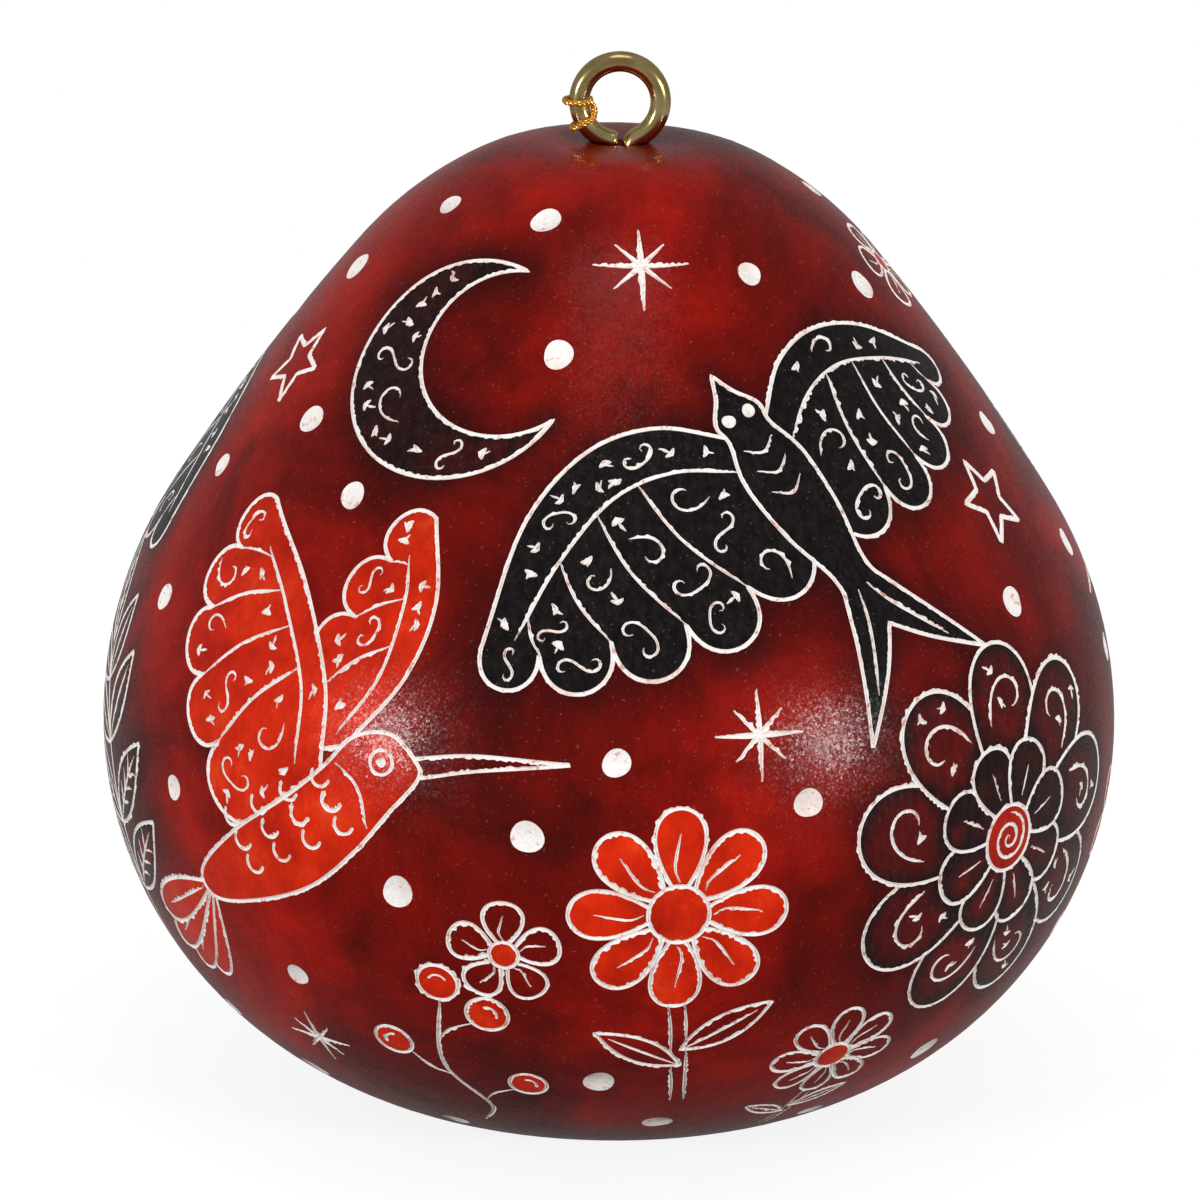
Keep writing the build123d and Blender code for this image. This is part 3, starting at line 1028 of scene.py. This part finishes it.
def rind_object(carving):
    """The carved shell as one mesh: dyed rind, pale cuts and the inside."""
    bearings, rind_faces = rind_net(carving)
    points, normals = surface(bearings), surface_normals(bearings)
    carved = points - normals * carved_depth(carving, points)[:, None]
    cut = carved_depth(carving, points[rind_faces].mean(axis=1)) > CUT_DEPTH
    cap = np.flatnonzero(bearings.real > OUTLINE_RISE[-1] - CAP_MARGIN)
    cap = cap[np.argsort(bearings[cap].imag)]
    fan = np.stack([np.full(len(cap) - 2, cap[0]), cap[1:-1], cap[2:]], axis=1)
    inside_points, inside_faces = cavity_mesh()
    all_points = np.concatenate([carved, inside_points]) * MM
    faces = np.concatenate([rind_faces, fan, inside_faces + len(carved)])
    rind = smooth_object("carved_rind", all_points.tolist(), faces.tolist())
    outer = slice(0, len(rind_faces))
    capped = slice(len(rind_faces), len(rind_faces) + len(fan))
    slots = np.zeros(len(faces), np.int32)
    slots[outer][cut] = 1
    slots[capped.stop:] = 2
    rind.data.polygons.foreach_set("material_index", slots)
    dye = np.zeros((len(faces), 3, 4), np.float32)
    dye[..., 3] = 1
    faces_middle = np.log(np.exp(bearings)[rind_faces].mean(axis=1))
    dye[outer] = dye_corners(carving, points, rind_faces, faces_middle)
    rind.data.attributes.new("dye", "FLOAT_COLOR", "CORNER").data.foreach_set("color", dye.ravel())
    places = bake_places(bearings, inside_points, faces, capped)
    rind.data.uv_layers.new(name="OFBake").data.foreach_set("uv", places.ravel())
    shaded = face_normals(all_points, faces)
    shaded[outer][~cut] = normals[rind_faces[~cut]]
    rind.data.normals_split_custom_set(shaded.reshape(-1, 3).tolist())
    return rind


# The screw eye, the thread and the seeds

def tube(centres, ways, radii):
    """Points and faces of a tube with a row of corners round each centre: radii has one value a corner."""
    sides = radii.shape[1]
    ways = unit(ways)
    first = unit(FRONT - ways * (ways @ FRONT)[:, None])
    second = np.cross(ways, first)
    turns = even_turns(sides)
    rows = np.cos(turns)[None, :, None] * first[:, None] + np.sin(turns)[None, :, None] * second[:, None]
    points = (centres[:, None] + rows * radii[..., None]).reshape(-1, 3)
    faces = []
    for low in range(0, len(points) - sides, sides):
        for side in range(sides):
            following = (side + 1) % sides
            faces.append((low + side, low + following, low + sides + following, low + sides + side))
    faces.append(tuple(range(sides))[::-1])
    faces.append(tuple(range(len(points) - sides, len(points))))
    return (points * MM).tolist(), faces


def joined(shapes):
    """Points and faces of several shapes in one."""
    points, faces = [], []
    for shape_points, shape_faces in shapes:
        faces.extend([tuple(corner + len(points) for corner in face) for face in shape_faces])
        points.extend(shape_points)
    return points, faces


def eye_outward(angle):
    """The way out from the eye's centre in its plane: 0 is to the right, 90 up and 180 to the left."""
    return np.array([math.cos(math.radians(angle)), 0, math.sin(math.radians(angle))])


def eye_object():
    """One brass wire: a threaded and pointed shank, a neck, and a ring with a cut end."""
    bend_offset = SHANK_OFFSET + NECK_BEND_RADIUS
    bend_drop = math.sqrt((EYE_RADIUS + NECK_BEND_RADIUS) ** 2 - bend_offset**2)
    bend_height = EYE_HEIGHT - bend_drop
    neck_turn = math.degrees(math.atan2(bend_drop, bend_offset))
    heights = np.arange(SHANK_POINT_HEIGHT, bend_height, SHANK_STEP)
    centres = [np.array([SHANK_OFFSET, 0, height]) for height in heights]
    ways = [np.array([0, 0, 1.0]) for _ in heights]
    for angle in np.linspace(180, 180 - neck_turn, NECK_ROWS):
        centres.append(np.array([bend_offset, 0, bend_height]) + NECK_BEND_RADIUS * eye_outward(angle))
        ways.append(eye_outward(angle - 90))
    for angle in np.linspace(-neck_turn, EYE_END_ANGLE, RING_ROWS)[1:]:
        centres.append(EYE_CENTRE + EYE_RADIUS * eye_outward(angle))
        ways.append(eye_outward(angle + 90))
    centres, ways = np.array(centres), np.array(ways)
    radii = np.full((len(centres), WIRE_SIDES), WIRE_RADIUS)
    above_point = heights - SHANK_POINT_HEIGHT
    cone = np.clip(SHANK_POINT_SHARE + (1 - SHANK_POINT_SHARE) * above_point / SHANK_POINT_LENGTH, 0, 1)
    turns = above_point[:, None] / SCREW_PITCH + np.arange(WIRE_SIDES)[None, :] / WIRE_SIDES
    groove = SCREW_DEPTH * np.clip(SCREW_SLOPE * abs(turns % 1 - 0.5) - SCREW_CREST, 0, 1)
    fade = np.clip((bend_height - SCREW_END - heights) / SCREW_FADE, 0, 1)
    radii[:len(heights)] = (WIRE_RADIUS - groove * fade[:, None]) * cone[:, None]
    radii[-1] = EYE_END_SHARE * WIRE_RADIUS
    centres[-1] += ways[-1] * EYE_END_LENGTH
    return smooth_object("brass_screw_eye", *tube(centres, ways, radii))


def thread_point(eye_angle, wrap_angle):
    """A point of a turn round the wire: wrap angle 0 is outside the ring, 90 in front and 180 inside."""
    turn = math.radians(wrap_angle)
    outward = eye_outward(eye_angle)
    reach = WIRE_RADIUS + THREAD_CLEARANCE + THREAD_RADIUS
    return EYE_CENTRE + outward * (EYE_RADIUS + reach * math.cos(turn)) + FRONT * reach * math.sin(turn)


def thread_object():
    """A metallic thread of three twisted plies, hitched round the left side of the ring."""
    upper = [thread_point(HITCH_ANGLE - HITCH_HALF_SPREAD, wrap) for wrap in HITCH_WRAPS]
    lower = [thread_point(HITCH_ANGLE + HITCH_HALF_SPREAD, wrap) for wrap in HITCH_WRAPS[::-1]]
    bight = thread_point(HITCH_ANGLE, BIGHT_WRAP) + BIGHT_REACH * FRONT
    stops = np.array([*upper, bight, *lower])
    line = np.stack([curve(*stops[:, axis], steps=14).real for axis in range(3)], axis=1)
    ahead = unit(np.gradient(line, axis=0))
    # No stretch of the thread runs along the slant
    slant = np.array([0.31, 0.2, 0.93])
    aside = unit(np.cross(ahead, slant))
    over = np.cross(ahead, aside)
    along = running_sum(np.linalg.norm(np.diff(line, axis=0), axis=1))
    radii = np.full((len(line), PLY_SIDES), PLY_RADIUS)
    radii[0] = radii[-1] = PLY_END_RADIUS
    plies = []
    for ply in range(PLY_COUNT):
        turn = TURN * (along / PLY_PITCH + ply / PLY_COUNT)
        centres = line + PLY_OFFSET * (np.cos(turn)[:, None] * aside + np.sin(turn)[:, None] * over)
        plies.append(tube(centres, np.gradient(centres, axis=0), radii))
    return smooth_object("hitched_gold_thread", *joined(plies))


def seed_shape():
    """One flat seed along x, blunt and broad at one end, with two ridges along each face."""
    along = np.sin(np.linspace(-math.pi / 2, math.pi / 2, SEED_ROWS))
    rounding = (1 - abs(along) ** 7) ** 0.4
    half_width = np.interp(along, SEED_STOPS, SEED_HALF_WIDTHS) * rounding
    half_thick = 0.9 * SEED_THICKNESS / 2 * (0.72 + 0.28 * (1 - along**2)) * rounding
    turns = even_turns(SEED_SIDES)
    across, up = abs(np.cos(turns)), abs(np.sin(turns))
    ridge = 1
    for height, place, spread in SEED_RIDGES:
        ridge = ridge + height * np.exp(-((across - place) / spread) ** 2)
    wide, thick = (np.maximum(half, 0.02)[:, None] for half in (half_width, half_thick))
    sides = (across / wide) ** SEED_SQUARENESS + (up / (thick * ridge)) ** SEED_SQUARENESS
    centres = np.stack([along * SEED_LENGTH / 2, 0 * along, 0 * along], axis=1)
    return tube(centres, np.tile([1.0, 0.0, 0.0], (SEED_ROWS, 1)), sides ** (-1 / SEED_SQUARENESS))


def seeds_object():
    """The seeds in two rings on the floor of the gourd, each turned a little."""
    points, faces = seed_shape()
    seat_inset = (BELLY - SEAT_OUTER).real
    belly_curve = (BELLY.imag**2 + seat_inset**2) / (2 * seat_inset)
    cavity_curve = belly_curve - WALL
    seeds = []
    for count, radius in SEED_RINGS:
        slope, floor, hollow = 0.0, WALL, 0.0
        if radius > SEAT_OUTER.real:
            slope = math.asin((radius - BELLY.real + belly_curve) / cavity_curve)
            floor = BELLY.imag - cavity_curve * math.cos(slope)
            hollow = cavity_curve - math.sqrt(cavity_curve**2 - (SEED_LENGTH / 2) ** 2)
        rest = Matrix.Translation(Vector((radius, 0, floor)) * MM) @ Matrix.Rotation(-slope, 4, "Y")
        lift = Matrix.Translation((0, 0, (SEED_THICKNESS / 2 + hollow + SEED_FLOOR_GAP) * MM))
        for number in range(count):
            around = Matrix.Rotation(TURN * number / count, 4, "Z")
            scatter = Matrix.Rotation(math.radians(90 + SEED_SCATTER * math.sin(2 * number)), 4, "Z")
            place = around @ rest @ lift @ scatter
            seeds.append(([place @ Vector(point) for point in points], faces))
    return smooth_object("dry_gourd_seeds", *joined(seeds))


# Materials

class Nodes:
    """The nodes of a material or a world, added one by one."""

    def __init__(self, owner):
        owner.use_nodes = True
        self.nodes = owner.node_tree.nodes
        self.links = owner.node_tree.links

    def put(self, socket, value):
        """Gives a socket a number, a vector, a linear colour or another node's output."""
        if isinstance(value, bpy.types.NodeSocket):
            self.links.new(value, socket)
        else:
            socket.default_value = (*value, 1) if socket.type == "RGBA" else value

    def add(self, kind, values, output, **settings):
        """Adds a node with these settings and socket values, and returns one of its outputs."""
        node = self.nodes.new("ShaderNode" + kind)
        for setting, value in settings.items():
            setattr(node, setting, value)
        for socket, value in values.items():
            self.put(node.inputs[socket], value)
        return node.outputs[output]

    def rays(self):
        """Outputs that tell by which kind of ray something is seen."""
        return self.nodes.new("ShaderNodeLightPath").outputs


class Shader(Nodes):
    """A material that ends in a Principled shader."""

    def __init__(self, name, **settings):
        self.material = bpy.data.materials.new(name)
        super().__init__(self.material)
        self.principled = self.nodes["Principled BSDF"]
        for socket, value in settings.items():
            self.put(self.principled.inputs[socket.replace("_", " ")], value)
        self.place = self.add("TexCoord", {}, "Object")

    def noise(self, size, detail=4.0, roughness=0.55, stretch=None, distortion=0.0):
        """Noise whose grains are about a size in millimetres."""
        place = self.place
        if stretch:
            place = self.add("Mapping", {"Vector": place, "Scale": stretch}, "Vector")
        values = {"Detail": detail, "Roughness": roughness, "Distortion": distortion}
        return self.add("TexNoise", {"Vector": place, "Scale": 1 / (size * MM), **values}, "Fac")

    def ramp(self, value, *stops):
        """Colours by value: each stop is a place and a linear colour."""
        node = self.nodes.new("ShaderNodeValToRGB")
        elements = node.color_ramp.elements
        while len(elements) < len(stops):
            elements.new(0.5)
        for element, (place, colour) in zip(elements, stops):
            element.position = place
            element.color = (*colour, 1)
        self.put(node.inputs["Fac"], value)
        return node.outputs["Color"]

    def scaled(self, value, to_low, to_high, low=0.3, high=0.7):
        """A value carried from one range to another: most of a noise lies from 0.3 to 0.7."""
        values = {"Value": value, "From Min": low, "From Max": high, "To Min": to_low, "To Max": to_high}
        return self.add("MapRange", values, "Result")

    def combined(self, kind, first, second):
        """Two values, or a value and a number, taken together."""
        return self.add("Math", {0: first, 1: second}, "Value", operation=kind)

    def mix(self, share, first, second, kind="MIX"):
        """Two colours mixed by a share."""
        return self.add("Mix", {0: share, 6: first, 7: second}, 2, data_type="RGBA", blend_type=kind)

    def grains(self, size, tilt):
        """A normal that tips at random from grain to grain, of a size in millimetres."""
        cells = self.add("TexVoronoi", {"Vector": self.place, "Scale": 1 / (size * MM)}, "Color")
        normal = self.add("NewGeometry", {}, "Normal")
        tips = {0: cells, 1: (2 * tilt,) * 3, 2: normal}
        tipped = self.add("VectorMath", tips, "Vector", operation="MULTIPLY_ADD")
        centred = self.add("VectorMath", {0: tipped, 1: (tilt,) * 3}, "Vector", operation="SUBTRACT")
        return self.add("VectorMath", {0: centred}, "Vector", operation="NORMALIZE")

    def bump(self, *heights, normal=None):
        """Bumps of a height in millimetres, laid over each other and over a normal."""
        for value, height in heights:
            values = {"Height": value, "Distance": height * MM}
            if normal:
                values["Normal"] = normal
            normal = self.add("Bump", values, "Normal")
        self.put(self.principled.inputs["Normal"], normal)

    def finish(self, colour, roughness):
        """Sets the shader's colour and roughness."""
        self.put(self.principled.inputs["Base Color"], colour)
        self.put(self.principled.inputs["Roughness"], roughness)
        return self.material


def rind_material():
    """Dyed and lacquered rind: a mottled red ground, smoke round dark fields, black and bright red dye."""
    shader = Shader("dyed_rind", Specular_IOR_Level=0.14)
    dye = shader.add("Attribute", {}, "Color", attribute_name="dye")
    parts = shader.nodes.new("ShaderNodeSeparateColor")
    shader.put(parts.inputs["Color"], dye)
    black, red, smoke = (parts.outputs[part] for part in ("Red", "Green", "Blue"))
    clouds = shader.noise(15, detail=5, roughness=0.6, distortion=0.6)
    blots = shader.noise(4.5, detail=5, roughness=0.6)
    fibre = shader.noise(0.5, detail=3, roughness=0.6, stretch=(1, 1, 0.3))
    ground = shader.ramp(
        clouds,
        (0.28, (0.05, 0.0016, 0.0006)),
        (0.44, (0.17, 0.0028, 0.0006)),
        (0.57, (0.29, 0.0042, 0.0008)),
        (0.74, (0.45, 0.008, 0.001)),
    )
    blotted = shader.ramp(blots, (0.3, (0.45, 0.42, 0.42)), (0.66, (1.1, 1.1, 1.1)))
    ground = shader.mix(0.5, ground, blotted, "MULTIPLY")
    smoky = shader.combined("MULTIPLY", smoke, shader.scaled(blots, 0.55, 1.0))
    ground = shader.mix(smoky, ground, (0.014, 0.0016, 0.0014))
    bright = shader.ramp(
        blots,
        (0.3, (0.48, 0.01, 0.001)),
        (0.56, (0.78, 0.026, 0.002)),
        (0.76, (0.92, 0.085, 0.015)),
    )
    colour = shader.mix(red, ground, bright)
    ink = shader.ramp(fibre, (0.35, (0.0045, 0.0035, 0.004)), (0.75, (0.016, 0.0105, 0.011)))
    colour = shader.mix(black, colour, ink)
    streaks = shader.ramp(fibre, (0.3, (0.6, 0.6, 0.6)), (0.7, (1.15, 1.15, 1.15)))
    colour = shader.mix(0.35, colour, streaks, "MULTIPLY")
    speckle = shader.noise(0.17, detail=1)
    dust = shader.scaled(shader.noise(0.2, detail=0), 0.0, 0.18, 0.76, 0.82)
    colour = shader.mix(dust, colour, (0.3, 0.2, 0.17))
    dulled = shader.scaled(blots, 0.2, 0.25)
    roughness = shader.combined("ADD", dulled, shader.scaled(speckle, -0.04, 0.04))
    shader.bump((shader.noise(2.2, detail=3), 0.02), (speckle, 0.006), normal=shader.grains(0.15, 0.055))
    return shader.finish(colour, roughness)


def flesh_material():
    """The pale flesh that the cuts lay bare, a little stained and fibrous."""
    shader = Shader("cut_flesh", Specular_IOR_Level=0.3)
    stain = shader.noise(3.0)
    grain = shader.noise(0.16, detail=3, roughness=0.7)
    fleck = shader.noise(0.5, detail=2)
    colour = shader.ramp(
        stain,
        (0.3, (0.85, 0.7, 0.64)),
        (0.42, (0.93, 0.87, 0.83)),
        (0.55, (0.96, 0.94, 0.92)),
    )
    grained = shader.ramp(grain, (0.3, (0.7, 0.6, 0.56)), (0.6, (1, 1, 1)))
    colour = shader.mix(0.4, colour, grained, "MULTIPLY")
    flecked = shader.ramp(fleck, (0.3, (0.72, 0.26, 0.2)), (0.4, (1, 1, 1)))
    colour = shader.mix(0.7, colour, flecked, "MULTIPLY")
    shader.bump((grain, 0.05))
    return shader.finish(colour, shader.scaled(grain, 0.6, 0.85))


def inside_material():
    """The dry inside of the gourd: tan, with the fibres of the pulp."""
    shader = Shader("dry_inside", Specular_IOR_Level=0.2)
    fibre = shader.noise(1.2, detail=5, stretch=(1, 1, 0.2))
    colour = shader.ramp(fibre, (0.3, (0.3, 0.2, 0.1)), (0.6, (0.55, 0.42, 0.26)), (0.8, (0.68, 0.57, 0.4)))
    shader.bump((fibre, 0.2))
    return shader.finish(colour, shader.scaled(fibre, 0.75, 0.95))


def brass_material():
    """Drawn brass wire, slightly dulled, with faint die lines and spots."""
    shader = Shader("brass", Metallic=1.0)
    tarnish = shader.noise(1.6)
    scratch = shader.noise(0.12, detail=2, stretch=(0.25, 1, 0.25))
    colour = shader.ramp(
        tarnish,
        (0.3, (0.42, 0.3, 0.1)),
        (0.55, (0.62, 0.48, 0.2)),
        (0.75, (0.78, 0.64, 0.33)),
    )
    shader.bump((scratch, 0.006))
    return shader.finish(colour, shader.scaled(tarnish, 0.24, 0.12))


def thread_material():
    """Shiny gold thread with a fine wound foil."""
    shader = Shader("gold_thread", Metallic=0.85)
    foil = shader.noise(0.1, detail=2, stretch=(1, 1, 2.5))
    colour = shader.ramp(
        foil,
        (0.35, (0.5, 0.15, 0.012)),
        (0.5, (0.95, 0.43, 0.045)),
        (0.68, (1.0, 0.78, 0.3)),
    )
    shader.bump((foil, 0.012))
    return shader.finish(colour, shader.scaled(foil, 0.18, 0.28))


def seed_material():
    """Dry gourd seeds: tan, with faint streaks and specks."""
    shader = Shader("dry_seed", Specular_IOR_Level=0.25)
    streak = shader.noise(1.4, detail=5)
    speck = shader.noise(0.3, detail=3)
    colour = shader.ramp(
        streak,
        (0.3, (0.36, 0.25, 0.12)),
        (0.55, (0.6, 0.47, 0.29)),
        (0.75, (0.74, 0.62, 0.43)),
    )
    shader.bump((speck, 0.06))
    return shader.finish(colour, shader.scaled(speck, 0.55, 0.8))


# The pieces

def link(thing, *materials):
    """Puts an object in the scene with its materials."""
    bpy.context.scene.collection.objects.link(thing)
    for material in materials:
        thing.data.materials.append(material)
    return thing


rind = link(rind_object(draw()), rind_material(), flesh_material(), inside_material())
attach(rind, "gourd")
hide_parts("gourd_shell")

eye = link(eye_object(), brass_material())
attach(eye, "gourd")
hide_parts("screw_eye")

thread = link(thread_object(), thread_material())
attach(thread, "thread")
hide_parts("hanging_thread")

seeds = link(seeds_object(), seed_material())
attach(seeds, "seeds")
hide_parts("dried_seeds")


# The studio

def floor_object():
    """A square floor a hair below the gourd."""
    mesh = bpy.data.meshes.new("studio_floor")
    sides = ((-1, -1), (1, -1), (1, 1), (-1, 1))
    corners = [(x * FLOOR_REACH, y * FLOOR_REACH, FLOOR_HEIGHT) for x, y in sides]
    mesh.from_pydata(corners, [], [(0, 1, 2, 3)])
    mesh.materials.append(floor_material())
    return bpy.data.objects.new("studio_floor", mesh)


def floor_material():
    """Pale paper that glows white to the camera, apart from the gourd's soft shadow."""
    shader = Shader("pale_floor", Specular_IOR_Level=0.0)
    paper = shader.noise(6, detail=3)
    colour = shader.ramp(paper, (0.3, (0.24, 0.24, 0.24)), (0.7, (0.26, 0.26, 0.26)))
    seen = shader.rays()
    glossy = shader.combined("MULTIPLY", seen["Is Glossy Ray"], FLOOR_GLOSS)
    shown = shader.combined("MAXIMUM", seen["Is Camera Ray"], glossy)
    shown = shader.combined("MAXIMUM", shown, seen["Is Transmission Ray"])
    glow = shader.add("Emission", {"Strength": shader.combined("MULTIPLY", shown, FLOOR_GLOW)}, "Emission")
    both = shader.add("AddShader", {0: shader.principled.outputs["BSDF"], 1: glow}, "Shader")
    shader.put(shader.nodes["Material Output"].inputs["Surface"], both)
    return shader.finish(colour, shader.scaled(paper, 0.85, 0.95))


def studio_world():
    """An even white room: plain white to the camera, and dimmer in what the lacquer and the brass reflect."""
    world = bpy.data.worlds.new("white_room")
    room = Nodes(world)
    seen = room.rays()
    strength = ROOM_LIGHT
    for ray, level in (("Is Camera Ray", 1.0), ("Is Transmission Ray", 1.0), ("Is Glossy Ray", ROOM_GLOSS)):
        strength = room.add("Mix", {0: seen[ray], 2: strength, 3: level}, 0)
    background = room.nodes["Background"]
    room.put(background.inputs["Color"], (1, 1, 1))
    room.put(background.inputs["Strength"], strength)
    bpy.context.scene.world = world


def soft_box(name, azimuth, elevation, size, energy):
    """A square soft light that faces the gourd, at an azimuth counted from the front to the right."""
    light = bpy.data.lights.new(name, "AREA")
    light.size = size
    light.energy = energy
    box = link(bpy.data.objects.new(name, light))
    turn, rise = math.radians(azimuth), math.radians(elevation)
    outward = Vector((math.sin(turn) * math.cos(rise), -math.cos(turn) * math.cos(rise), math.sin(rise)))
    box.location = TARGET + BOX_DISTANCE * outward
    box.rotation_euler = outward.to_track_quat("Z", "Y").to_euler()


def photo_camera():
    """A long lens a little above the gourd."""
    camera = bpy.data.cameras.new("photo_camera")
    camera.sensor_width = SENSOR_WIDTH
    camera.lens = LENS
    view = link(bpy.data.objects.new("photo_camera", camera))
    rise = math.radians(CAMERA_ELEVATION)
    place = TARGET + CAMERA_DISTANCE * Vector((0, -math.cos(rise), math.sin(rise)))
    right, up = Vector((1, 0, 0)), Vector((0, math.sin(rise), math.cos(rise)))
    ahead = (TARGET + AIM_RIGHT * right + AIM_UP * up - place).normalized()
    turned = ahead.to_track_quat("-Z", "Y").to_matrix() @ Matrix.Rotation(math.radians(CAMERA_ROLL), 3, "Z")
    view.matrix_world = Matrix.Translation(place) @ turned.to_4x4()
    bpy.context.scene.camera = view


link(floor_object())
studio_world()
for name, settings in SOFT_BOXES.items():
    soft_box(name, *settings)
photo_camera()
bpy.context.scene.view_settings.view_transform = "Standard"
